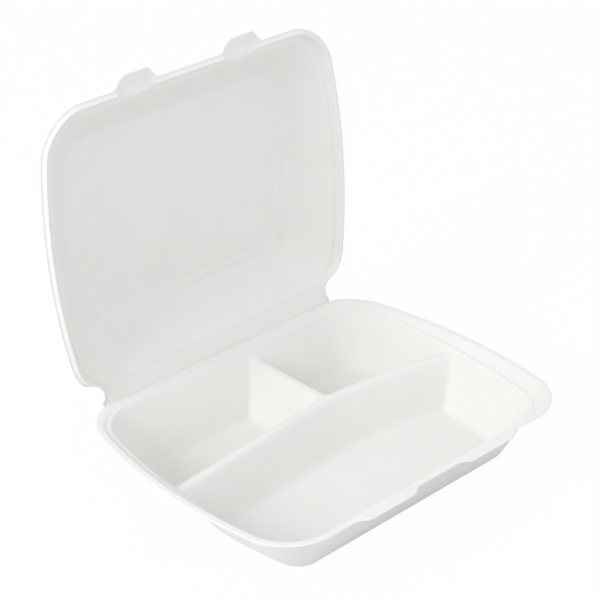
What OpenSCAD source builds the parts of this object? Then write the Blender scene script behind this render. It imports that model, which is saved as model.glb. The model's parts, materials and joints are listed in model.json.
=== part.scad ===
// Three compartment clamshell container, moulded in one sheet of pressed plant fibre.
// The tray stands on z = 0 with +X along the hinge and +Y towards it, the lid is open.
// Both halves are thin shells: a shaped upper face, and the same face set off along its normals.

/* [Tray] */
// Length of the tray along the hinge, at the middle of the rim
tray_l = 240; // [225:1:260]
// Width of the tray from the front rim to the nominal back rim
tray_w = 205; // [195:1:220]
// Height of the rim's top over the table
rim_h = 40; // [37:0.5:46]
// Corner radius of the rim
rim_r = 29.5; // [24:0.5:34]
// How much narrower the tray is at its front and back than in the middle, as a share of its length
bow = 0.105; // [0.06:0.005:0.13]
// Thickness of the pressed fibre
wall_t = 0.8; // [0.6:0.05:1]
// Width of the flat lip round the rim
lip_w = 4.1; // [3:0.1:4.8]
// Depth of the lid's seat under the lip, halfway along the sides
seat_drop = 5.2; // [4:0.1:6]
// How much the seat rises towards the hinge, per millimetre
seat_tilt = 0.045; // [0:0.005:0.05]
// Inset of the foot's outline from the rim's outline
foot_inset = 29.5; // [27:0.5:31]
// Corner radius of the foot
foot_r = 10.5; // [9:0.5:14]
// How far the two front tabs stand out from the rim
front_tab_out = 4.4; // [2:0.2:6]

/* [Dividers] */
// Height of the dividers' crests
crest_h = 31; // [26:0.5:34]
// Half width of the rounded crest
crest_half = 2.9; // [2:0.1:3.2]
// Sideways run of a divider's face from its centre line to the floor
face_run = 17.5; // [16:0.5:19]
// Same run on the left of the short divider
wide_run = 20; // [18:0.5:20]
// Place of the short divider along the hinge
short_x = 17.5; // [14:0.5:21]
// Place of the long divider's peak, measured from the middle towards the hinge
peak_y = 18.4; // [12:0.2:22]

/* [Lid] */
// Inset of the lid's outline from the tray's outline
lid_inset = 5.5; // [5.3:0.1:6]
// Height of the roof's frame over the rim plane of the lid
roof_h = 25.5; // [18:0.5:30]
// How much higher than its frame the roof's middle panel stands
panel_h = 0.7; // [0.4:0.1:1.5]
// How far the bead round the rim stands out of the rim plane
bead_h = 2; // [1:0.1:2]
// How far the two locking tabs stand out from the lid's edge
lock_tab_out = 8.3; // [5:0.1:9]
// Angle between the open lid and its closed place
open_angle = 88.2; // [0:0.2:180]

/* [Hidden] */
fibre = [0.95, 0.94, 0.90];

// Tray outlines, each one half length, half width, corner radius, shift towards the hinge and bow.
// The seat is bowed less than the rim and lies further back, so its step is widest in front.
rim = [tray_l/2, tray_w/2, rim_r, 0, bow];
lip_edge = rim - lip_w*[1, 1, 1, 0, 0];
seat_inset = [8.4, 9.2, 4.4, -2.4, 0.028];
seat = rim - seat_inset;
wall_inset = [2.2, 2.3, 1.8, 0, 0];
wall_top = seat - wall_inset;
foot = [tray_l/2 - foot_inset, tray_w/2 - foot_inset, foot_r, 0, bow];

// Heights on the tray
floor_z = wall_t;
seat_z = rim_h - seat_drop;
roll = 0.9;
roll_drop = 0.5;

// Fillets, as the height over which two surfaces blend
fillet_floor = 6;
fillet_divider = 5;
fillet_crest = 3.5;
fillet_ledge = 2;
fillet_roof = 4;

// Slopes of the long divider's two arms, and the bend of its right arm
arm_left = 0.104;
arm_right = -0.099;
arm_bend = -0.0011;
arm_blend = 4;

// How far the short divider runs into the long one, short of its front face
short_end = 5;

// Hinge line between the halves, and the clear slit between their edges
hinge_y = tray_w/2 - 1.5;
hinge_z = rim_h + 0.2;
slit = 0.3;
web_w = 0.2;

// Tabs: place from the middle, half width at the root and half width at the end
front_tab = [38.75, 23.75, 17];
lock_tab = [39, 16.8, 7.6];
lock_dip = 1.8;

// Half widths of the gap in the lid's bead at a locking tab, at the bead's crest and at its foot
bead_gap = [16, 12.5];

// Lid outlines, and heights over the hinge line when the lid is closed
lid_bow = bow - 0.012;
lid_rim = [tray_l/2 - lid_inset, tray_w/2 - lid_inset, rim_r - 0.9];
bead_run = 7.5;
lid_foot = lid_rim - [bead_run, bead_run, bead_run];
roof_inset = [28.5, 33, 15.6];
lid_roof = lid_rim - roof_inset;
panel_inset = [9, 6.7, 6.5];
panel = lid_roof - panel_inset;
panel_edge = 0.8;
rim_w = 2;
dome_w = rim_w + 2;
roof_w = rim_w + roof_h;

// Round notch at each end of the hinge: centre from the middle and the hinge line, and radius
notch = [tray_l/2 - 20.5, 7];
notch_r = 9.3;
notch_from = 224;
notch_step = 24;
notch_steps = 6;

// Steps round the hinge corner over which the bead begins
bead_from = 3;
bead_steps = 4;

// Whole model moved along Y so that its box is centred
roof_v = 48;
y_front = -tray_w/2 - front_tab_out;
y_back = hinge_y + (roof_w + panel_h + wall_t)*sin(open_angle) - roof_v*cos(open_angle);
y_shift = -(y_front + y_back)/2;

// Blends and outlines
function lerp(p, q, t) = p + (q - p)*t;
function clamp(x, lo, hi) = min(max(x, lo), hi);
function blend(p, q, k) = pow(max(k - abs(p - q), 0), 2)/(4*k);
function smooth_max(p, q, k) = max(p, q) + blend(p, q, k);
function smooth_min(p, q, k) = min(p, q) - blend(p, q, k);
function bow_share(y, b, amount) = 1 - amount*pow(y/b, 2);
function outline_distance(x, y, o) =
    let (dx = abs(x) - o[0] + o[2], dy = abs(y) - o[1] + o[2])
    norm([max(dx, 0), max(dy, 0)]) + min(max(dx, dy), 0) - o[2];

// Level on the tray's side wall that passes over a point: 0 at the foot, 1 at the ledge
function wall_outline(t) = lerp(foot, wall_top, t);
function level_distance(x, y, t) =
    let (o = wall_outline(t), v = y - o[3])
    outline_distance(x/bow_share(v, o[1], o[4]), v, o);
function wall_level(x, y, lo = -0.7, hi = 1.3, steps = 18) =
    let (mid = (lo + hi)/2)
    steps == 0 ? mid
    : level_distance(x, y, mid) > 0 ? wall_level(x, y, mid, hi, steps - 1)
    : wall_level(x, y, lo, mid, steps - 1);

// Centre line of the long divider, and the rounded ridge across a divider
function crest_y(x) =
    let (u = x - short_x)
    smooth_min(peak_y + arm_left*u, peak_y + arm_right*u + arm_bend*u*u, arm_blend);
function ridge(s, run) =
    let (slope = (crest_h - floor_z)/(run - crest_half))
    smooth_min(crest_h, crest_h - slope*(s - crest_half), fillet_crest);

// Height of the tray's inner face over a point, out to the seat's edge
function tray_z(x, y) =
    let (
        ledge = seat_z + seat_tilt*y,
        wall = lerp(floor_z, ledge, wall_level(x, y)),
        behind = y - crest_y(x),
        long = ridge(abs(behind), face_run),
        beside = ridge(abs(x - short_x), x < short_x ? wide_run : face_run),
        short = min(beside, ridge(max(short_end - behind, 0), face_run)),
        dividers = min(crest_h, smooth_max(long, short, fillet_divider)),
        bowl = smooth_max(smooth_max(wall, dividers, fillet_floor), floor_z, fillet_floor)
    )
    smooth_min(bowl, ledge, fillet_ledge);
function unit(v) = v/norm(v);
function tray_normal(x, y) =
    let (e = 0.05)
    unit([tray_z(x - e, y) - tray_z(x + e, y), tray_z(x, y - e) - tray_z(x, y + e), 2*e]);

// Mesh lines of the tray. Columns and rows in the corners hold a side and a share of the arc,
// those between hold 0 and a place. Rows near the long divider bend with it by their third value.
arc_steps = 4;
arc_shares = [for (k = [0:arc_steps]) k/arc_steps];
tab_lines = [62.5, 57.5, 54.5, 39, 23.5, 20.5, 15];
short_lines = [-wide_run - 3, -wide_run + 1, -13, -8.5, -4.5, -2.4, -1.2, 0, 1.2, 3, 5.8, 9.5, 13.5, face_run,
    face_run + 4];
columns = concat(
    [for (k = [arc_steps:-1:0]) [-1, arc_shares[k]]],
    [for (x = tab_lines) [0, -x]],
    [for (x = short_lines) [0, x + short_x]],
    [for (x = [54.5, 57.5, 62.5]) [0, x]],
    [for (k = arc_shares) [1, k]]
);
divider_rows = [-face_run - 4, -face_run, -13, -8, -4, -2.4, -1.2, 0, 1.2, 2.4, 4, 8, 13, face_run,
    face_run + 4];
rows = concat(
    [for (k = [arc_steps:-1:0]) [-1, arc_shares[k], 0]],
    [[0, -46, 0.2], [0, -25, 0.6]],
    [for (y = divider_rows) [0, peak_y + y, 1]],
    [[0, 52, 0.5]],
    [for (k = arc_shares) [1, k, 0]]
);
last_i = len(columns) - 1;
last_j = len(rows) - 1;

// Point of the mesh where a column and a row meet, inside the outline o
function mesh_point(i, j, o) =
    let (
        col = columns[i],
        row = rows[j],
        u = col[0] == 0 ? 0 : col[1],
        v = row[0] == 0 ? 0 : row[1],
        x0 = col[0]*(o[0] - o[2] + o[2]*u*sqrt(1 - v*v/2)),
        y = row[0] == 0 ? row[1] + row[2]*(crest_y(col[0] == 0 ? col[1] : x0) - peak_y)
            : row[0]*(o[1] - o[2] + o[2]*v*sqrt(1 - u*u/2)) + o[3],
        x = col[0] == 0 ? col[1] : x0*bow_share(y - o[3], o[1], o[4])
    )
    [x, y];

// The mesh's outer stations, anticlockwise from the front left corner
stations = concat(
    [for (i = [0:last_i - 1]) [i, 0]],
    [for (j = [0:last_j - 1]) [last_i, j]],
    [for (i = [last_i:-1:1]) [i, last_j]],
    [for (j = [last_j:-1:1]) [0, j]]
);
count = len(stations);
wall_levels = [-0.2, -0.08, 0.04, 0.17, 0.35, 0.6, 0.82, 0.945, 1, 1.055];
inner_outlines = concat([for (t = wall_levels) wall_outline(t)], [seat]);
flange_outlines = [lip_edge, rim - roll*[1, 1, 1, 0, 0], rim];
seat_k = len(inner_outlines) - 1;

// Flange outside the seat: drawn out at the front tabs, cut straight along the hinge
function tab_share(x, tab) = clamp((tab[1] - abs(abs(x) - tab[0]))/(tab[1] - tab[2]), 0, 1);
function flange_point(k, s) =
    let (
        o = flange_outlines[k],
        p = mesh_point(stations[s][0], stations[s][1], o),
        out = k > 0 && stations[s][1] == 0 ? front_tab_out*tab_share(p[0], front_tab) : 0,
        cut = hinge_y - slit/2 - (k == 1 ? roll : 0)
    )
    [p[0], k > 0 ? min(p[1] - out, cut) : p[1], k == 2 ? rim_h - roll_drop : rim_h];

function inner_point(k, s) =
    let (p = mesh_point(stations[s][0], stations[s][1], inner_outlines[k]))
    [p[0], p[1], tray_z(p[0], p[1])];

// Normal of a ring mesh at one of its points, from the points about it
function ring_normal(rings, k, s) =
    let (
        n = len(rings[0]),
        across = rings[min(k + 1, len(rings) - 1)][s] - rings[max(k - 1, 0)][s],
        along = rings[k][(s + 1) % n] - rings[k][(s + n - 1) % n]
    )
    unit(cross(across, along));
function flat(lists) = [for (list = lists) each list];

// Two triangles for the four corners a, b, c and d, split along the diagonal whose middle lies
// nearer to the surface. The corners are indices, clockwise seen from above the face.
function split(pts, a, b, c, d, z) =
    abs((pts[a][2] + pts[c][2])/2 - z) <= abs((pts[b][2] + pts[d][2])/2 - z)
    ? [[a, b, c], [a, c, d]] : [[a, b, d], [b, c, d]];
function centre_z(pts, a, b, c, d) =
    let (m = (pts[a] + pts[b] + pts[c] + pts[d])/4)
    tray_z(m[0], m[1]);

// Faces of a shell. Rings run from the inside out, and the lower face follows the upper one.
function ring_quad(k, s, n) =
    let (t = (s + 1) % n)
    [k*n + s, k*n + t, (k + 1)*n + t, (k + 1)*n + s];
function ring_faces(first, last, n) = [for (k = [first:last - 1], s = [0:n - 1])
    let (q = ring_quad(k, s, n))
    each [[q[0], q[1], q[2]], [q[0], q[2], q[3]]]];
function wall_faces(pts, n) = [for (k = [0:seat_k - 1], s = [0:n - 1])
    let (q = ring_quad(k, s, n))
    each split(pts, q[0], q[1], q[2], q[3], centre_z(pts, q[0], q[1], q[2], q[3]))];
function flipped(faces) = [for (f = faces) [f[2], f[1], f[0]]];
function moved(faces, by) = [for (f = faces) [for (i = f) i + by]];
function edge_faces(n, top, bottom) = [for (s = [0:n - 1])
    let (t = (s + 1) % n)
    each [[top + s, top + t, bottom + t], [top + s, bottom + t, bottom + s]]];

// Index of a mesh point on the floor: the outer ones are those of the innermost ring
function floor_index(i, j, from) =
    j == 0 ? i % count
    : i == last_i ? last_i + j
    : j == last_j ? 2*last_i + last_j - i
    : i == 0 ? 2*last_i + 2*last_j - j
    : from + (j - 1)*(last_i - 1) + i - 1;
function floor_faces(pts, from) = [for (j = [0:last_j - 1], i = [0:last_i - 1])
    let (
        a = floor_index(i, j, from),
        b = floor_index(i, j + 1, from),
        c = floor_index(i + 1, j + 1, from),
        d = floor_index(i + 1, j, from),
        corner = (i == 0 || i == last_i - 1) && (j == 0 || j == last_j - 1),
        rising = (i < last_i/2) == (j < last_j/2)
    )
    each (corner ? (rising ? [[a, b, c], [a, c, d]] : [[a, b, d], [b, c, d]])
        : split(pts, a, b, c, d, centre_z(pts, a, b, c, d)))];

module base_tray() {
    rings = concat(
        [for (k = [0:seat_k]) [for (s = [0:count - 1]) inner_point(k, s)]],
        [for (k = [0:2]) [for (s = [0:count - 1]) flange_point(k, s)]]
    );
    ring_normals = [for (k = [0:len(rings) - 1], s = [0:count - 1])
        let (p = rings[k][s])
        k < seat_k ? tray_normal(p[0], p[1]) : ring_normal(rings, k, s)];
    floor_points = [for (j = [1:last_j - 1], i = [1:last_i - 1])
        let (p = mesh_point(i, j, inner_outlines[0]))
        [p[0], p[1], tray_z(p[0], p[1])]];
    floor_normals = [for (p = floor_points) tray_normal(p[0], p[1])];
    top = concat(flat(rings), floor_points);
    normals = concat(ring_normals, floor_normals);
    bottom = [for (k = [0:len(top) - 1]) top[k] - wall_t*normals[k]];
    last_k = len(rings) - 1;
    upper = concat(
        wall_faces(top, count),
        ring_faces(seat_k, last_k, count),
        floor_faces(top, len(rings)*count)
    );
    edge = edge_faces(count, last_k*count, last_k*count + len(top));
    color(fibre)
    translate([0, y_shift, 0])
    polyhedron(
        points = concat(top, bottom),
        faces = concat(upper, moved(flipped(upper), len(top)), edge)
    );
}

// Lid stations: how each one runs from the rim inwards. Arc stations hold the corner's two signs
// and an angle, side stations hold 0 and a place along the side, front and hinge ones a place in X.
corner_steps = 10;
side_places = [for (k = [1:7]) k/4 - 1];
lock_lines = [55.8, 54.2, 51.4, 48, 45.6, 39, 32.4, 30, 26.6, 23.8, 22.2];
front_lines = concat([for (x = lock_lines) -x], [-8, 8], [for (k = [10:-1:0]) lock_lines[k]]);
hinge_lines = [54, 36, 18, 0, -18, -36, -54];
lid_stations = concat(
    [for (x = front_lines) ["front", x]],
    [for (k = [0:corner_steps]) ["arc", 1, -1, k*90/corner_steps - 90]],
    [for (p = side_places) ["side", 1, p]],
    [for (k = [0:corner_steps]) ["arc", 1, 1, k*90/corner_steps]],
    [for (x = hinge_lines) ["hinge", x]],
    [for (k = [0:corner_steps]) ["arc", -1, 1, 90 + k*90/corner_steps]],
    [for (p = side_places) ["side", -1, -p]],
    [for (k = [0:corner_steps]) ["arc", -1, -1, 180 + k*90/corner_steps]]
);
lid_count = len(lid_stations);

// Point of a lid station on the outline o, with y towards the hinge
function lid_point(s, o) =
    let (
        st = lid_stations[s],
        core = [o[0] - o[2], o[1] - o[2]]
    )
    st[0] == "front" ? [st[1], -o[1]]
    : st[0] == "hinge" ? [st[1], o[1]]
    : st[0] == "side" ? let (y = st[2]*core[1]) [st[1]*o[0]*bow_share(y, o[1], lid_bow), y]
    : let (y = st[2]*core[1] + o[2]*sin(st[3]), x = st[1]*core[0] + o[2]*cos(st[3]))
        [x*bow_share(y, o[1], lid_bow), y];

// Steps of an arc station from the hinge's straight edge, and the share of the bead that it has
function arc_step(s) =
    let (st = lid_stations[s])
    st[0] == "arc" && st[2] == 1 ? round(abs(90 - st[3])*corner_steps/90) : undef;
function bead_share(s) =
    let (k = arc_step(s))
    lid_stations[s][0] == "hinge" ? 0 : is_undef(k) ? 1 : clamp((k - bead_from)/bead_steps, 0, 1);

function notch_point(side, a) =
    [side*(notch[0] + notch_r*cos(a)), hinge_y - notch[1] - notch_r*sin(a)];

// The lid's free edge: notched beside the hinge, drawn out at the locking tabs
function lid_edge(s) =
    let (p = lid_point(s, lid_rim), k = arc_step(s))
    lid_stations[s][0] == "hinge" || k == 0 ? [p[0], hinge_y - slit]
    : !is_undef(k) && k <= notch_steps ? notch_point(lid_stations[s][1], notch_from - notch_step*(k - 1))
    : p;

// Share by which the bead is cut away at a station beside a locking tab
function bead_cut(s) =
    let (st = lid_stations[s])
    st[0] != "front" ? 0
    : clamp((bead_gap[0] - abs(abs(st[1]) - lock_tab[0]))/(bead_gap[0] - bead_gap[1]), 0, 1);

// Bead section from the edge inwards: share of the way to the dome, height, height at the hinge
bead_section = [
    [0, rim_w, web_w],
    [0.15, rim_w, web_w + 0.3],
    [0.25, rim_w - 0.45*bead_h, web_w + 0.6],
    [0.36, rim_w - 0.88*bead_h, web_w + 0.95],
    [0.47, rim_w - bead_h, web_w + 1.3],
    [0.58, rim_w - 0.88*bead_h, web_w + 1.75],
    [0.76, dome_w - 0.7, web_w + 2.5],
    [1, dome_w, dome_w]
];
dome_levels = [0.3, 0.6, 0.84, 0.92, 1, 1.08, 1.17];
function dome_outline(t) = lerp(lid_foot, lid_roof, t);
function dome_height(t) = smooth_min(lerp(dome_w, roof_w, t), roof_w, fillet_roof);

// Outermost rings, drawn out past the rim at the tabs and bent towards the tray there:
// share of the way to the dome, then shares of the tab's length and of its dip
tab_steps = [[0, 1, 1], [0.04, 0.6, 0.7], [0.08, 0.25, 0.15]];
function tab_ring(step) = [for (s = [0:lid_count - 1])
    let (
        p = lerp(lid_edge(s), lid_point(s, lid_foot), step[0]),
        share = lid_stations[s][0] == "front" ? tab_share(p[0], lock_tab) : 0
    )
    [p[0], p[1] - lock_tab_out*share*step[1], lid_height(0, s) - lock_dip*share*step[2]]];
function lid_height(k, s) =
    let (row = bead_section[k], crest = lerp(row[1], lerp(rim_w, dome_w, row[0]), bead_cut(s)))
    lerp(row[2], crest, bead_share(s));
function bead_ring(k) = [for (s = [0:lid_count - 1])
    let (p = lerp(lid_edge(s), lid_point(s, lid_foot), bead_section[k][0]))
    [p[0], p[1], lid_height(k, s)]];
function level_ring(o, w) = [for (s = [0:lid_count - 1])
    let (p = lid_point(s, o))
    [p[0], p[1], w]];

// Closed place of a lid point to its place with the lid open
function opened(p) =
    let (v = hinge_y - p[1], c = cos(open_angle), s = sin(open_angle))
    [p[0], hinge_y - v*c + p[2]*s, hinge_z + v*s + p[2]*c];

module lid() {
    rings = concat(
        [for (step = tab_steps) tab_ring(step)],
        [for (k = [1:len(bead_section) - 1]) bead_ring(k)],
        [for (t = dome_levels) level_ring(dome_outline(t), dome_height(t))],
        [level_ring(panel + [panel_edge, panel_edge, panel_edge], roof_w)],
        [level_ring(panel, roof_w + panel_h)]
    );
    total = len(rings)*lid_count;
    inner = concat(flat(rings), [[0, 0, roof_w + panel_h]]);
    normals = concat(
        [for (k = [0:len(rings) - 1], s = [0:lid_count - 1]) ring_normal(rings, k, s)],
        [[0, 0, -1]]
    );
    outer = [for (k = [0:total]) inner[k] - wall_t*normals[k]];
    last = total - lid_count;
    under = concat(
        ring_faces(0, len(rings) - 1, lid_count),
        [for (s = [0:lid_count - 1]) [last + s, last + (s + 1) % lid_count, total]]
    );
    color(fibre)
    translate([0, y_shift, 0])
    polyhedron(
        points = [for (p = concat(inner, outer)) opened(p)],
        faces = concat(under, moved(flipped(under), total + 1), flipped(edge_faces(lid_count, 0, total + 1)))
    );
}

base_tray();
lid();
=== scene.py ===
# Clamshell food container of pressed plant fibre, standing open in a pale studio.
import json
import math
import bpy
import numpy as np
from mathutils import Matrix, Vector


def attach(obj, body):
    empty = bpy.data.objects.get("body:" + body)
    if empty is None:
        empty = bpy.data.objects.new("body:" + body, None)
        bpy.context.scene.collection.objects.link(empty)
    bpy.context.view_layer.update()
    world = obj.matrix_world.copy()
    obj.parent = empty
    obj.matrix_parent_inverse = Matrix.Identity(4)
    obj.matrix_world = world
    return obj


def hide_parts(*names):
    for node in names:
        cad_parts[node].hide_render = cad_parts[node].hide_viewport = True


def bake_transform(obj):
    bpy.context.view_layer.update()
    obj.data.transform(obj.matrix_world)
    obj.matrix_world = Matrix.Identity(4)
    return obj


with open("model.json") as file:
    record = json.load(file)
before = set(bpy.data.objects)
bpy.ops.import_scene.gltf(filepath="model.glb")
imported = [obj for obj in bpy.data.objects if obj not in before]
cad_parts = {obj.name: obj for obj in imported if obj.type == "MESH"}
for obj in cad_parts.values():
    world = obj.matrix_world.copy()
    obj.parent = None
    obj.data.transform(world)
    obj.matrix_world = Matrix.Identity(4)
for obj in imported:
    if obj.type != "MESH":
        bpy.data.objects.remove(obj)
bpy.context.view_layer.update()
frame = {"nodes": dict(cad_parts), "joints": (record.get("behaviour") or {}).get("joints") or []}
mm = 0.001
hinge = frame["joints"][0]
print("frame loaded:", sorted(frame["nodes"]))


# A number inside a node tree. Plain expressions on it add the Math nodes.
class Value:
    def __init__(self, graph, socket):
        self.graph = graph
        self.socket = socket

    def __add__(self, other):
        return self.graph.maths("ADD", self, other)

    def __sub__(self, other):
        return self.graph.maths("SUBTRACT", self, other)

    def __rsub__(self, other):
        return self.graph.maths("SUBTRACT", other, self)

    def __mul__(self, other):
        return self.graph.maths("MULTIPLY", self, other)

    def __truediv__(self, other):
        return self.graph.maths("DIVIDE", self, other)

    def __neg__(self):
        return self.graph.maths("MULTIPLY", self, -1)

    def __abs__(self):
        return self.graph.maths("ABSOLUTE", self)

    def __gt__(self, other):
        return self.graph.maths("GREATER_THAN", self, other)

    def __lt__(self, other):
        return self.graph.maths("LESS_THAN", self, other)

    __radd__ = __add__
    __rmul__ = __mul__

    def atLeast(self, other):
        return self.graph.maths("MAXIMUM", self, other)

    def atMost(self, other):
        return self.graph.maths("MINIMUM", self, other)

    def softMax(self, other, blend):
        return self.graph.maths("SMOOTH_MAX", self, other, blend)

    def softMin(self, other, blend):
        return self.graph.maths("SMOOTH_MIN", self, other, blend)

    def part(self, name):  # another output of the same node
        return Value(self.graph, self.socket.node.outputs[name])


class Graph:
    def __init__(self, tree):
        self.tree = tree

    def add(self, kind, settings=None, inputs=None, output=0):
        node = self.tree.nodes.new(kind)
        for name, setting in (settings or {}).items():
            setattr(node, name, setting)
        for name, given in (inputs or {}).items():
            for item in given if isinstance(given, list) else [given]:
                if isinstance(item, Value):
                    self.tree.links.new(item.socket, node.inputs[name])
                else:
                    node.inputs[name].default_value = item
        return Value(self, node.outputs[output]) if node.outputs else node

    def maths(self, operation, *values):
        return self.add("ShaderNodeMath", {"operation": operation}, dict(enumerate(values)))

    def mixColour(self, factor, first, second):
        settings = {"data_type": "RGBA", "clamp_factor": True}
        return self.add("ShaderNodeMix", settings, {0: factor, 6: first, 7: second}, output=2)


# Outlines: half length, half width, corner radius, shift towards the hinge and bow, in millimetres
def inset(outline, amount):
    a, b, r, shift, bow = outline
    return a - amount, b - amount, r - amount, shift, bow


def between(first, second, share):
    return tuple(p + (q - p) * share for p, q in zip(first, second))


def bowedX(x, y, outline):
    return x * (1 - outline[4] * ((y - outline[3]) / outline[1]) ** 2)


def places(*stops):
    # values from stop to stop, each stretch with its own largest gap
    found = []
    for (start, gap), (end, _) in zip(stops, stops[1:]):
        count = max(1, math.ceil((end - start) / gap - 1e-6))
        found += [start + (end - start) * k / count for k in range(count)]
    return np.array(found + [stops[-1][0]])


def ease(t):
    t = np.clip(t, 0, 1)
    return t * t * (3 - 2 * t)


def tabShare(x, tab):
    centre, rootHalf, endHalf = tab
    return ease((rootHalf - abs(abs(x) - centre)) / (rootHalf - endHalf))


tray = {
    "rim": (120, 102.5, 29.5, 0, 0.105),
    "seat": (111.6, 93.3, 25.1, 2.4, 0.077),
    "wallTop": (109.4, 91, 23.3, 2.4, 0.077),
    "foot": (90.5, 73, 10.5, 0, 0.105),
    "lipWidth": 4.1,
    "frontTab": (38.75, 23.75, 15.5),
    "frontTabOut": 4.4,
    "hingePlace": 101.0,
    "hingeSlit": 0.15,
    "hingeFlare": 3.2,  # how far the lip's corners beside the hinge are drawn out sideways
    "flareFrom": (80, 86),
    "flareRun": 9,
    "longCrest": (18.4, 0.104, -0.099, -0.0011, 4),  # peak, slopes of both arms, bend, rounding
    "shortCrest": 17.5,
    "arcSteps": 12,
    "topLevel": 1.06,  # last wall level with a ring, a little over the seat's edge
    "seatShares": (0.25, 0.5, 0.75, 0.92, 1),
    "stepShares": (0.06, 0.2, 0.4, 0.6, 0.75, 0.85, 0.93, 1),
    "lipShares": (0.06, 0.14, 0.25, 0.4, 0.55, 0.7, 0.82, 0.9, 0.95, 0.98, 1),
    "columnEnd": 69,  # where the straight columns and rows stop and the corners begin
    "rowEnd": 58.5,
    "ridgeReach": 22,  # the lines lie closer together this far from a crest, and closest near its top
    "ridgeTop": 4.5,
}

traySizes = {
    "floorHeight": 0.8,
    "seatHeight": 34.8,
    "seatTilt": 0.045,
    "rimHeight": 40.0,
    "crestHeight": 31.0,
    "crestHalf": 2.9,
    "faceRun": 17.5,
    "wideRun": 20.0,
    "floorFillet": 9.0,
    "dividerFillet": 7.5,
    "crestFillet": 5.25,
    "shortEnd": 5.0,
    "ledgeFillet": 3.0,
    "lipRound": 0.7,
    "edgeFrom": 1.8,  # lip share at which the edge begins to turn down
    "edgeDrop": 15.0,
    "thickness": 0.8,
}


def longCrestAt(x):
    peak, left, right, bend, rounding = tray["longCrest"]
    u = x - tray["shortCrest"]
    first, second = peak + left * u, peak + right * u + bend * u * u
    return np.minimum(first, second) - np.maximum(rounding - abs(first - second), 0) ** 2 / (4 * rounding)


# Columns and rows of the tray's mesh: side and share of the arc in the corners, place between them
def trayLines():
    arc = np.linspace(0, 1, tray["arcSteps"] + 1)
    short, peak = tray["shortCrest"], tray["longCrest"][0]
    reach, top = tray["ridgeReach"], tray["ridgeTop"]
    lastX, lastY = tray["columnEnd"], tray["rowEnd"]
    middle = places((-lastX, 2), (short - reach, 1.4), (short - top, 0.75),
                    (short + top, 1.4), (short + reach, 2), (lastX, 2))
    across = places((-lastY, 2), (peak - reach, 1.4), (peak - top, 0.75), (peak + top, 1.3), (lastY, 1.3))
    follow = np.interp(across, [-lastY, peak - reach, peak + reach, lastY], [0, 1, 1, 0])
    columns = [(-1, u, 0) for u in arc[::-1]] + [(0, 0, x) for x in middle] + [(1, u, 0) for u in arc]
    rows = [(-1, v, 0, 0) for v in arc[::-1]] + [(0, 0, y, f) for y, f in zip(across, follow)]
    rows += [(1, v, 0, 0) for v in arc]
    return np.array(columns), np.array(rows)


def trayPoints(i, j, outline, columns, rows):
    side, u, x = columns[i].T
    end, v, place, follow = rows[j].T
    a, b, r, shift, _ = outline
    flatX = np.where(side == 0, x, side * (a - r + r * u * np.sqrt(1 - v * v / 2)))
    y = np.where(end == 0, place + follow * (longCrestAt(flatX) - tray["longCrest"][0]),
                 end * (b - r + r * v * np.sqrt(1 - u * u / 2)) + shift)
    return np.where(side == 0, x, bowedX(flatX, y, outline)), y


def trayRings():
    # outline, wall level and lip share of each ring, from the floor's edge out to the rim
    rings = []
    top = tray["topLevel"]
    for level in places((-0.2, 0.05), (0.3, 0.08), (0.86, 0.02), (top, 1)):
        rings.append((between(tray["foot"], tray["wallTop"], level), level, 0))
    lastWall = rings[-1][0]
    for share in tray["seatShares"]:
        rings.append((between(lastWall, tray["seat"], share), top + 0.1 * share, 0))
    lipEdge = inset(tray["rim"], tray["lipWidth"])
    for share in tray["stepShares"]:
        rings.append((between(tray["seat"], lipEdge, share), top + 0.1, share))
    for share in tray["lipShares"]:
        rings.append((between(lipEdge, tray["rim"], share), top + 0.1, 1 + share))
    return rings


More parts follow.
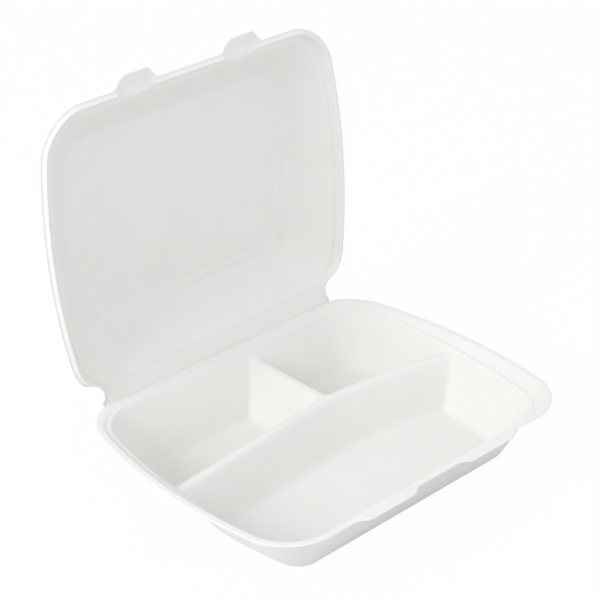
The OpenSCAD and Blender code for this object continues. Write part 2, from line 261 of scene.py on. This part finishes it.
def trayBlank():
    columns, rows = trayLines()
    lastI, lastJ = len(columns) - 1, len(rows) - 1
    front = [(i, 0) for i in range(lastI)]
    right = [(lastI, j) for j in range(lastJ)]
    back = [(i, lastJ) for i in range(lastI, 0, -1)]
    left = [(0, j) for j in range(lastJ, 0, -1)]
    stations = np.array(front + right + back + left)
    count = len(stations)
    rings = trayRings()
    lipEdge = inset(tray["rim"], tray["lipWidth"])
    _, lipY = trayPoints(stations[:, 0], stations[:, 1], lipEdge, columns, rows)
    _, rimY = trayPoints(stations[:, 0], stations[:, 1], tray["rim"], columns, rows)
    cut = tray["hingePlace"] - tray["hingeSlit"]
    squeeze = np.where(rimY > cut, (cut - lipY) / np.maximum(rimY - lipY, 1e-6), 1)
    verts, level, lip = [], [], []
    for outline, wall, share in rings:
        x, y = trayPoints(stations[:, 0], stations[:, 1], outline, columns, rows)
        if share > 1:
            y = np.where(rimY > cut, lipY + (y - lipY) * squeeze, y)
            tabs = np.where(stations[:, 1] == 0, tabShare(x, tray["frontTab"]), 0)
            y = y - tray["frontTabOut"] * tabs * ease(share - 1)
            flareX, flareY = tray["flareFrom"]
            flare = ease((y - flareY) / (cut - flareY)) * ease((abs(x) - flareX) / tray["flareRun"])
            x = x + np.sign(x) * tray["hingeFlare"] * flare * (share - 1)
        verts.append(np.c_[x, y, 0 * x])
        level.append(np.full(count, wall))
        lip.append(np.full(count, share))
    faces = []
    for k in range(len(rings) - 1):
        near, far = k * count, (k + 1) * count
        faces += [(far + s, far + (s + 1) % count, near + (s + 1) % count, near + s) for s in range(count)]
    inner = len(rings) * count
    i, j = np.meshgrid(range(1, lastI), range(1, lastJ))
    x, y = trayPoints(i.ravel(), j.ravel(), rings[0][0], columns, rows)
    verts.append(np.c_[x, y, 0 * x])
    level.append(np.full(len(x), -0.25))
    lip.append(np.zeros(len(x)))
    index = np.zeros((lastJ + 1, lastI + 1), int)
    index[1:-1, 1:-1] = inner + np.arange(len(x)).reshape(i.shape)
    index[stations[:, 1], stations[:, 0]] = np.arange(count)
    for j in range(lastJ):
        for i in range(lastI):
            faces.append((index[j, i], index[j, i + 1], index[j + 1, i + 1], index[j + 1, i]))
    return flatSheet("trayBlank", np.vstack(verts), faces, wall=np.concatenate(level), lip=np.concatenate(lip))


def flatSheet(name, verts, faces, **attributes):
    mesh = bpy.data.meshes.new(name)
    mesh.from_pydata(verts.tolist(), [], [tuple(int(v) for v in face) for face in faces])
    for key, values in attributes.items():
        mesh.attributes.new(key, "FLOAT", "POINT").data.foreach_set("value", np.asarray(values, np.float32))
    return mesh


# A tree that lifts a flat blank to its pressed height and gives the sheet its thickness
def pressTree(name, sizes, heightAt):
    tree = bpy.data.node_groups.new(name, "GeometryNodeTree")
    graph = Graph(tree)
    tree.interface.new_socket("Blank", in_out="INPUT", socket_type="NodeSocketGeometry")
    tree.interface.new_socket("Fibre", in_out="INPUT", socket_type="NodeSocketMaterial")
    for key in sizes:
        tree.interface.new_socket(key, in_out="INPUT", socket_type="NodeSocketFloat")
    tree.interface.new_socket("Sheet", in_out="OUTPUT", socket_type="NodeSocketGeometry")
    given = tree.nodes.new("NodeGroupInput").outputs
    size = {key: Value(graph, given[key]) for key in sizes}
    place = graph.add("GeometryNodeInputPosition")
    split = graph.add("ShaderNodeSeparateXYZ", {}, {"Vector": place})
    height = heightAt(graph, size, split.part("X"), split.part("Y"))
    point = graph.add("ShaderNodeCombineXYZ", {}, {"X": split.part("X"), "Y": split.part("Y"), "Z": height})
    face = graph.add("GeometryNodeSetPosition", {},
                     {"Geometry": Value(graph, given["Blank"]), "Position": point})
    back = graph.add("GeometryNodeExtrudeMesh", {"mode": "FACES"},
                     {"Mesh": face, "Offset Scale": -size["thickness"], "Individual": False})
    outer = graph.add("GeometryNodeStoreNamedAttribute", {"data_type": "FLOAT", "domain": "FACE"},
                      {"Geometry": back, "Name": "outside", "Value": 1.0})
    turned = graph.add("GeometryNodeFlipFaces", {}, {"Mesh": outer})
    both = graph.add("GeometryNodeJoinGeometry", {}, {"Geometry": [face, turned]})
    closed = graph.add("GeometryNodeMergeByDistance", {}, {"Geometry": both, "Distance": 0.002})
    smooth = graph.add("GeometryNodeSetShadeSmooth", {}, {"Geometry": closed})
    real = graph.add("GeometryNodeRealizeInstances", {}, {"Geometry": smooth})
    done = graph.add("GeometryNodeSetMaterial", {},
                     {"Geometry": real, "Material": Value(graph, given["Fibre"])})
    tree.links.new(done.socket, tree.nodes.new("NodeGroupOutput").inputs["Sheet"])
    return tree


def attribute(graph, name):
    return graph.add("GeometryNodeInputNamedAttribute", {"data_type": "FLOAT"}, {"Name": name})


def trayHeight(graph, size, x, y):
    ledge = size["seatHeight"] + size["seatTilt"] * y
    wall = size["floorHeight"] + (ledge - size["floorHeight"]) * attribute(graph, "wall")
    lip = attribute(graph, "lip")
    peak, left, right, bend, rounding = tray["longCrest"]
    across = x - tray["shortCrest"]
    crest = (peak + left * across).softMin(peak + right * across + bend * across * across, 1.5 * rounding)

    def ridge(distance, run):
        slope = (size["crestHeight"] - size["floorHeight"]) / (run - size["crestHalf"])
        side = size["crestHeight"] - slope * (distance - size["crestHalf"])
        return side.softMin(size["crestHeight"], size["crestFillet"])

    longRidge = ridge(abs(y - crest), size["faceRun"])
    run = size["faceRun"] + (size["wideRun"] - size["faceRun"]) * (across < 0)
    pastCrest = (crest - y + size["shortEnd"]).atLeast(0)
    shortRidge = ridge(abs(across), run).atMost(ridge(pastCrest, size["faceRun"]))
    dividers = longRidge.softMax(shortRidge, size["dividerFillet"]).atMost(size["crestHeight"])
    bowl = wall.softMax(dividers, size["floorFillet"]).softMax(size["floorHeight"], size["floorFillet"])
    inside = bowl.softMin(ledge, size["ledgeFillet"])
    step = (ledge + (size["rimHeight"] - ledge) * lip).softMin(size["rimHeight"], size["lipRound"])
    edge = (lip - size["edgeFrom"]).atLeast(0)
    return inside + step - ledge - size["edgeDrop"] * edge * edge


lid = {
    "rim": (114.5, 97, 28.6, 0, 0.093),
    "domeFoot": (107, 89.5, 21.1, 0, 0.093),
    "roof": (86, 64, 13, 0, 0.093),
    "panel": (77, 57.3, 6.5, 0, 0.093),
    "hingeGap": 0.3,
    "lockTab": (39, 16.8, 7.6),
    "lockTabOut": 8.3,
    "beadGap": (39, 14.5, 10.5),
    "notch": (99.5, 7, 9.3),  # centre from the middle and from the hinge, radius
    "notchArc": (224, 104),
    "arcSteps": 30,
    "openAngle": 88.2,
    "tabRings": ((0, 1), (0.01, 0.97), (0.03, 0.9), (0.05, 0.75),
                 (0.07, 0.6), (0.09, 0.45), (0.11, 0.3), (0.13, 0.15)),
    "beadFrom": 3,  # steps round the hinge corner over which the bead begins
    "beadSteps": 4,
    "lastDome": 1.18,  # dome level of the last ring, a little past the roof's edge
    "panelBand": (-1.3, 1.9),  # insets between which the roof's panel steps up
}

lidSizes = {
    "rimLevel": 2.0,
    "domeLevel": 4.1,
    "roofLevel": 27.5,
    "panelHeight": 0.9,
    "webLevel": 0.2,
    "webRise": 4.2,
    "outerSlope": 10.5,
    "outerFrom": 0.12,
    "innerSlope": 10.0,
    "innerFrom": 0.78,
    "beadRound": 2.6,
    "grooveDepth": 0.8,
    "groovePlace": 0.82,
    "grooveHalf": 0.26,
    "roofFillet": 6.0,
    "gapLevel": 3.1,
    "tabDip": 2.7,
    "thickness": 0.8,
}
domeRun = 3.36  # how far the share runs on from the dome's foot to its roof
panelFrom = 6  # share at the roof panel's outer edge, one less than on the panel


def lidStations():
    front = places((-57, 0.7), (-44, 2), (-34, 0.7), (-21, 2), (21, 0.7), (34, 2), (44, 0.7), (57, 1))
    arc = np.linspace(0, 90, lid["arcSteps"] + 1)
    side = np.linspace(-1, 1, 62)[1:-1]
    hingeRun = np.linspace(57, -57, 58)
    kinds = [("front", x, 0, 0) for x in front]
    kinds += [("arc", 1, -1, a - 90) for a in arc] + [("side", 1, p, 0) for p in side]
    kinds += [("arc", 1, 1, a) for a in arc] + [("hinge", x, 0, 0) for x in hingeRun]
    kinds += [("arc", -1, 1, 90 + a) for a in arc] + [("side", -1, -p, 0) for p in side]
    return kinds + [("arc", -1, -1, 180 + a) for a in arc]


def lidPoint(station, outline):
    kind, first, second, angle = station
    a, b, r = outline[:3]
    if kind == "front":
        return first, -b
    if kind == "hinge":
        return first, b
    if kind == "side":
        x, y = first * a, second * (b - r)
    else:
        turn = math.radians(angle)
        x, y = first * (a - r) + r * math.cos(turn), second * (b - r) + r * math.sin(turn)
    return bowedX(x, y, outline), y


def lidEdge(station):
    # the free edge: straight along the hinge, then round the notch and on along the outline
    kind, side, end, angle = station
    x, y = lidPoint(station, lid["rim"])
    nearHinge = tray["hingePlace"] - lid["hingeGap"]
    if kind == "hinge":
        return x, nearHinge
    if kind != "arc" or end < 0:
        return x, y
    step = abs(90 - angle) / 9
    centreX, centreV, radius = lid["notch"]
    turn = math.radians(np.interp(step, [1, 6], lid["notchArc"]))
    notchX = side * (centreX + radius * math.cos(turn))
    notchY = tray["hingePlace"] - centreV - radius * math.sin(turn)
    if step <= 1:
        return x + (notchX - x) * step, nearHinge + (notchY - nearHinge) * step
    blend = ease(np.array(step - 6))
    return notchX + (x - notchX) * blend, notchY + (y - notchY) * blend


def lidBlank():
    stations = lidStations()
    count = len(stations)
    edge = np.array([lidEdge(s) for s in stations])
    foot = np.array([lidPoint(s, lid["domeFoot"]) for s in stations])
    hingeSide = [1.0 if s[0] == "hinge" else 0.0 for s in stations]
    steps = [abs(90 - s[3]) / 9 if s[0] == "arc" and s[2] > 0 else 10 for s in stations]
    begun = np.clip((np.array(steps) - lid["beadFrom"]) / lid["beadSteps"], 0, 1)
    bead = np.where(np.array(hingeSide) > 0, 0, begun)
    isFront = np.array([s[0] == "front" for s in stations])
    tab = np.where(isFront, tabShare(edge[:, 0], lid["lockTab"]), 0)
    gap = np.where(isFront, tabShare(edge[:, 0], lid["beadGap"]), 0)
    verts, share, beads, tabs, gaps = [], [], [], [], []

    def ring(points, value, out=0.0):
        shifted = points - np.c_[np.zeros(count), lid["lockTabOut"] * tab * out]
        verts.append(np.c_[shifted, np.zeros(count)])
        share.append(np.full(count, value) - out * tab)
        beads.append(bead)
        tabs.append(tab)
        gaps.append(gap)

    def outlineRing(outline, value):
        ring(np.array([lidPoint(s, outline) for s in stations]), value)

    for value, out in lid["tabRings"]:
        ring(edge + (foot - edge) * value, value, out)
    for value in places((0.16, 0.03), (1, 0.03)):
        ring(edge + (foot - edge) * value, value)
    for level in places((0.05, 0.05), (0.8, 0.04), (lid["lastDome"], 1)):
        outlineRing(between(lid["domeFoot"], lid["roof"], level), 1 + domeRun * level)
    lastDome = between(lid["domeFoot"], lid["roof"], lid["lastDome"])
    panelOuter, panelInner = (inset(lid["panel"], amount) for amount in lid["panelBand"])
    for k in range(1, 4):
        outlineRing(between(lastDome, panelOuter, k / 3), panelFrom - 0.1)
    for k in range(1, 9):
        outlineRing(between(panelOuter, panelInner, k / 8), panelFrom + k / 8)
    flat = np.array([lidPoint(s, panelInner) for s in stations])
    for k in range(1, 8):
        ring(flat * (1 - k / 8), panelFrom + 1)
    faces = []
    for k in range(len(verts) - 1):
        far, near = k * count, (k + 1) * count
        faces += [(near + s, near + (s + 1) % count, far + (s + 1) % count, far + s) for s in range(count)]
    centre = len(verts) * count
    faces += [(centre, centre - count + (s + 1) % count, centre - count + s) for s in range(count)]
    verts.append(np.zeros((1, 3)))
    share.append(np.array([panelFrom + 1]))
    beads.append(np.array([1.0]))
    tabs.append(np.zeros(1))
    gaps.append(np.zeros(1))
    return flatSheet("lidBlank", np.vstack(verts), faces, share=np.concatenate(share),
                     bead=np.concatenate(beads), tab=np.concatenate(tabs), gap=np.concatenate(gaps))


def lidHeight(graph, size, x, y):
    share = attribute(graph, "share")
    bead = attribute(graph, "bead")
    tab = attribute(graph, "tab")
    gap = attribute(graph, "gap")
    steep = size["domeLevel"] - 0.5 + size["innerSlope"] * (share - size["innerFrom"])
    wall = size["domeLevel"] + (size["roofLevel"] - size["domeLevel"]) * (share - 1) / domeRun
    dome = steep.softMin(wall.softMax(size["domeLevel"] - 0.3, 0.8), 1.0)
    outerSide = size["rimLevel"] - size["outerSlope"] * (share - size["outerFrom"])
    outer = outerSide.softMin(size["rimLevel"], 0.6)
    web = size["webLevel"] + size["webRise"] * share
    rimPart = web + (outer - web) * bead
    away = (share - size["groovePlace"]) / size["grooveHalf"]
    groove = size["grooveDepth"] * bead * (1 - away * away).atLeast(0)
    beaded = rimPart.softMax(dome, size["beadRound"]) + groove
    flat = wall.softMax(size["gapLevel"], 1.5)
    body = (beaded + (flat - beaded) * gap).softMin(size["roofLevel"], size["roofFillet"])
    panel = (share - panelFrom).atLeast(0).atMost(1)
    panel = panel * panel * (3 - 2 * panel)
    return body + size["panelHeight"] * panel - size["tabDip"] * tab * (0 - share).atLeast(0)


# Pressed fibre: warm white, a little cloudy, with a fine nap and a few specks of bagasse
fibre = {
    "colour": (0.80, 0.789, 0.776, 1),
    "cloud": (0.785, 0.773, 0.758, 1),
    "speck": (0.45, 0.38, 0.28, 1),
    "roughness": 0.62,
    "napScale": 900.0,
    "feltScale": 260.0,
    "cloudScale": 38.0,
    "cloudFrom": 0.35,
    "cloudContrast": 2.2,
    "speckScale": 160.0,
    "speckSize": 0.07,
    "speckRarity": 0.985,
    "speckDepth": 0.6,
    "feltShare": 0.7,
    "bumpStrength": 0.25,
    "bumpHeight": 0.0003,
    "specular": 0.3,
}


def fibreMaterial():
    material = bpy.data.materials.new("pressedFibre")
    material.use_nodes = True
    graph = Graph(material.node_tree)
    shader = material.node_tree.nodes["Principled BSDF"]
    spot = graph.add("ShaderNodeTexCoord").part("Object")
    cloud = graph.add("ShaderNodeTexNoise", {}, {"Vector": spot, "Scale": fibre["cloudScale"], "Detail": 4.0})
    felt = graph.add("ShaderNodeTexNoise", {}, {"Vector": spot, "Scale": fibre["feltScale"], "Detail": 3.0})
    nap = graph.add("ShaderNodeTexNoise", {}, {"Vector": spot, "Scale": fibre["napScale"], "Detail": 2.0})
    cell = graph.add("ShaderNodeTexVoronoi", {}, {"Vector": spot, "Scale": fibre["speckScale"]})
    chance = graph.add("ShaderNodeSeparateColor", {}, {"Color": cell.part("Color")})
    speck = (cell < fibre["speckSize"]) * (chance > fibre["speckRarity"])
    cloudiness = (cloud - fibre["cloudFrom"]) * fibre["cloudContrast"]
    tone = graph.mixColour(cloudiness, fibre["colour"], fibre["cloud"])
    colour = graph.mixColour(speck * fibre["speckDepth"], tone, fibre["speck"])
    relief = felt * fibre["feltShare"] + nap * (1 - fibre["feltShare"])
    bump = graph.add("ShaderNodeBump", {}, {"Height": relief, "Strength": fibre["bumpStrength"],
                                            "Distance": fibre["bumpHeight"]})
    roughness = fibre["roughness"] + 0.12 * (felt - 0.5)
    graph.tree.links.new(colour.socket, shader.inputs["Base Color"])
    graph.tree.links.new(roughness.socket, shader.inputs["Roughness"])
    graph.tree.links.new(bump.socket, shader.inputs["Normal"])
    shader.inputs["Specular IOR Level"].default_value = fibre["specular"]
    return material


# Presses a blank with its tree and hands back a plain mesh object in metres
def press(name, blank, tree, sizes, material, toFrame):
    rough = bpy.data.objects.new(name + "Blank", blank)
    bpy.context.scene.collection.objects.link(rough)
    modifier = rough.modifiers.new("press", "NODES")
    modifier.node_group = tree
    for item in tree.interface.items_tree:
        if item.in_out == "INPUT" and item.name in sizes:
            modifier[item.identifier] = float(sizes[item.name])
        if item.in_out == "INPUT" and item.name == "Fibre":
            modifier[item.identifier] = material
    bpy.context.view_layer.update()
    mesh = bpy.data.meshes.new_from_object(rough.evaluated_get(bpy.context.evaluated_depsgraph_get()))
    bpy.data.objects.remove(rough)
    count = len(mesh.vertices)
    points = np.empty(count * 3, np.float32)
    mesh.vertices.foreach_get("co", points)
    mesh.vertices.foreach_set("co", toFrame(points.reshape(-1, 3).astype(float)).astype(np.float32).ravel())
    mesh.update()
    piece = bpy.data.objects.new(name, mesh)
    bpy.context.scene.collection.objects.link(piece)
    print(name, "pressed:", count, "points,", len(mesh.polygons), "faces")
    return piece


frameShift = hinge["pos_m"][1] / mm - tray["hingePlace"]


def trayToFrame(points):
    return (points + (0, frameShift, 0)) * mm


def lidToFrame(points):
    angle = math.radians(lid["openAngle"])
    v = tray["hingePlace"] - points[:, 1]
    w = points[:, 2]
    y = tray["hingePlace"] - v * math.cos(angle) + w * math.sin(angle)
    z = hinge["pos_m"][2] / mm + v * math.sin(angle) + w * math.cos(angle)
    return trayToFrame(np.c_[points[:, 0], y, z])


pulp = fibreMaterial()
trayTree = pressTree("pressedTray", traySizes, trayHeight)
trayPiece = press("pressed_tray", trayBlank(), trayTree, traySizes, pulp, trayToFrame)
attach(trayPiece, "tray")
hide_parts("base_tray")
lidTree = pressTree("pressedLid", lidSizes, lidHeight)
lidPiece = press("pressed_lid", lidBlank(), lidTree, lidSizes, pulp, lidToFrame)
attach(lidPiece, "lid")
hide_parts("lid")


# The crease: a thin strip from the tray's back edge to the lid's web
crease = {
    "halfLength": 92.4,
    "from": (-0.5, -0.6),  # back from the hinge line and up from it
    "to": (0.75, 0.9),
    "powers": (0.7, 1.6),  # how the section bends from the tray up into the lid
    "sections": 7,
    "steps": 90,
    "thickness": 0.35,
}


def creaseStrip():
    zHinge = hinge["pos_m"][2] / mm
    section = []
    start, end = crease["from"], crease["to"]
    for t in np.linspace(0, 1, crease["sections"]):
        section.append([p + (q - p) * t ** power for p, q, power in zip(start, end, crease["powers"])])
    xs = np.linspace(-crease["halfLength"], crease["halfLength"], crease["steps"] + 1)
    verts = [(x, tray["hingePlace"] + y, zHinge + z) for x in xs for y, z in section]
    width = len(section)
    faces = [(k * width + s, k * width + s + 1, (k + 1) * width + s + 1, (k + 1) * width + s)
             for k in range(crease["steps"]) for s in range(width - 1)]
    mesh = flatSheet("crease", trayToFrame(np.array(verts)), faces)
    piece = bpy.data.objects.new("moulded_crease", mesh)
    bpy.context.scene.collection.objects.link(piece)
    solidify = piece.modifiers.new("thickness", "SOLIDIFY")
    solidify.thickness = crease["thickness"] * mm
    solidify.offset = 0
    for polygon in mesh.polygons:
        polygon.use_smooth = True
    mesh.materials.append(pulp)
    return piece


creasePiece = creaseStrip()
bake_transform(creasePiece)
print("crease placed")

# Studio: pale floor, white surround, one soft lamp from the left in line with the lid, a weak one ahead
studio = {
    "floorSize": 6.0,
    "floorColour": (0.86, 0.86, 0.86, 1),
    "whiteShare": 0.95,
    "worldStrength": 0.95,
    "keyPower": 13.5,
    "keyPlace": (-1.66, 0.03, 1.1),
    "keySize": 1.1,
    "fillPower": 1.8,
    "fillPlace": (1.2, -1.5, 0.7),
    "fillSize": 1.6,
}
aim = Vector((0, 0, 0.08))


def softLamp(name, place, size, power):
    lamp = bpy.data.lights.new(name, "AREA")
    lamp.shape = "DISK"
    lamp.size = size
    lamp.energy = power
    holder = bpy.data.objects.new(name, lamp)
    holder.location = place
    holder.rotation_euler = (aim - Vector(place)).to_track_quat("-Z", "Y").to_euler()
    bpy.context.scene.collection.objects.link(holder)


def whiteRays(graph):
    rays = graph.add("ShaderNodeLightPath")
    return rays.part("Is Camera Ray").atLeast(rays.part("Is Glossy Ray")).atLeast(rays.part("Is Transmission Ray"))


def floorMaterial():
    material = bpy.data.materials.new("paleFloor")
    material.use_nodes = True
    graph = Graph(material.node_tree)
    material.node_tree.nodes.clear()
    matt = graph.add("ShaderNodeBsdfDiffuse", {}, {"Color": studio["floorColour"]})
    white = graph.add("ShaderNodeEmission", {}, {"Color": (1, 1, 1, 1), "Strength": 1.0})
    mixed = graph.add("ShaderNodeMixShader", {},
                      {0: whiteRays(graph) * studio["whiteShare"], 1: matt, 2: white})
    graph.add("ShaderNodeOutputMaterial", {}, {"Surface": mixed})
    return material


def makeStudio():
    half = studio["floorSize"] / 2
    corners = np.array([(-half, -half, 0), (half, -half, 0), (half, half, 0), (-half, half, 0)])
    mesh = flatSheet("floor", corners, [(0, 1, 2, 3)])
    floor = bpy.data.objects.new("floor", mesh)
    mesh.materials.append(floorMaterial())
    bpy.context.scene.collection.objects.link(floor)
    world = bpy.data.worlds.new("whiteRoom")
    bpy.context.scene.world = world
    world.use_nodes = True
    graph = Graph(world.node_tree)
    backdrop = world.node_tree.nodes["Background"]
    backdrop.inputs["Color"].default_value = (1, 1, 1, 1)
    level = studio["worldStrength"] + (1 - studio["worldStrength"]) * whiteRays(graph)
    world.node_tree.links.new(level.socket, backdrop.inputs["Strength"])
    softLamp("windowLamp", studio["keyPlace"], studio["keySize"], studio["keyPower"])
    softLamp("fillLamp", studio["fillPlace"], studio["fillSize"], studio["fillPower"])


makeStudio()

# Camera as in the photograph: angles in degrees, distances in millimetres, lens in pixels
view = {
    "azimuth": -35.710,
    "elevation": 26.887,
    "roll": -6.139,
    "offset": (34.959, -79.710),
    "distance": 958.168,
    "lensPixels": 1576.71,
    "framePixels": 600,
    "centrePixels": (-36, -24),
    "sensor": 36.0,
}


def makeCamera():
    az, el, roll = (math.radians(view[key]) for key in ("azimuth", "elevation", "roll"))
    back = Vector((math.sin(az) * math.cos(el), -math.cos(az) * math.cos(el), math.sin(el)))
    right = (-back).cross(Vector((0, 0, 1))).normalized()
    up = right.cross(-back)
    tiltedRight = math.cos(roll) * right + math.sin(roll) * up
    tiltedUp = -math.sin(roll) * right + math.cos(roll) * up
    data = bpy.data.cameras.new("camera")
    data.sensor_width = view["sensor"]
    data.lens = view["lensPixels"] * view["sensor"] / view["framePixels"]
    data.shift_x = -view["centrePixels"][0] / view["framePixels"]
    data.shift_y = view["centrePixels"][1] / view["framePixels"]
    data.clip_start = 0.05
    camera = bpy.data.objects.new("camera", data)
    rimMiddle = Vector((0, frameShift, traySizes["rimHeight"]))
    place = rimMiddle - tiltedRight * view["offset"][0] - tiltedUp * view["offset"][1]
    place += back * view["distance"]
    camera.location = place * mm
    camera.rotation_euler = Matrix((tiltedRight, tiltedUp, back)).transposed().to_euler()
    bpy.context.scene.collection.objects.link(camera)
    bpy.context.scene.camera = camera


makeCamera()
bpy.context.scene.view_settings.view_transform = "Standard"
print("studio and camera placed")
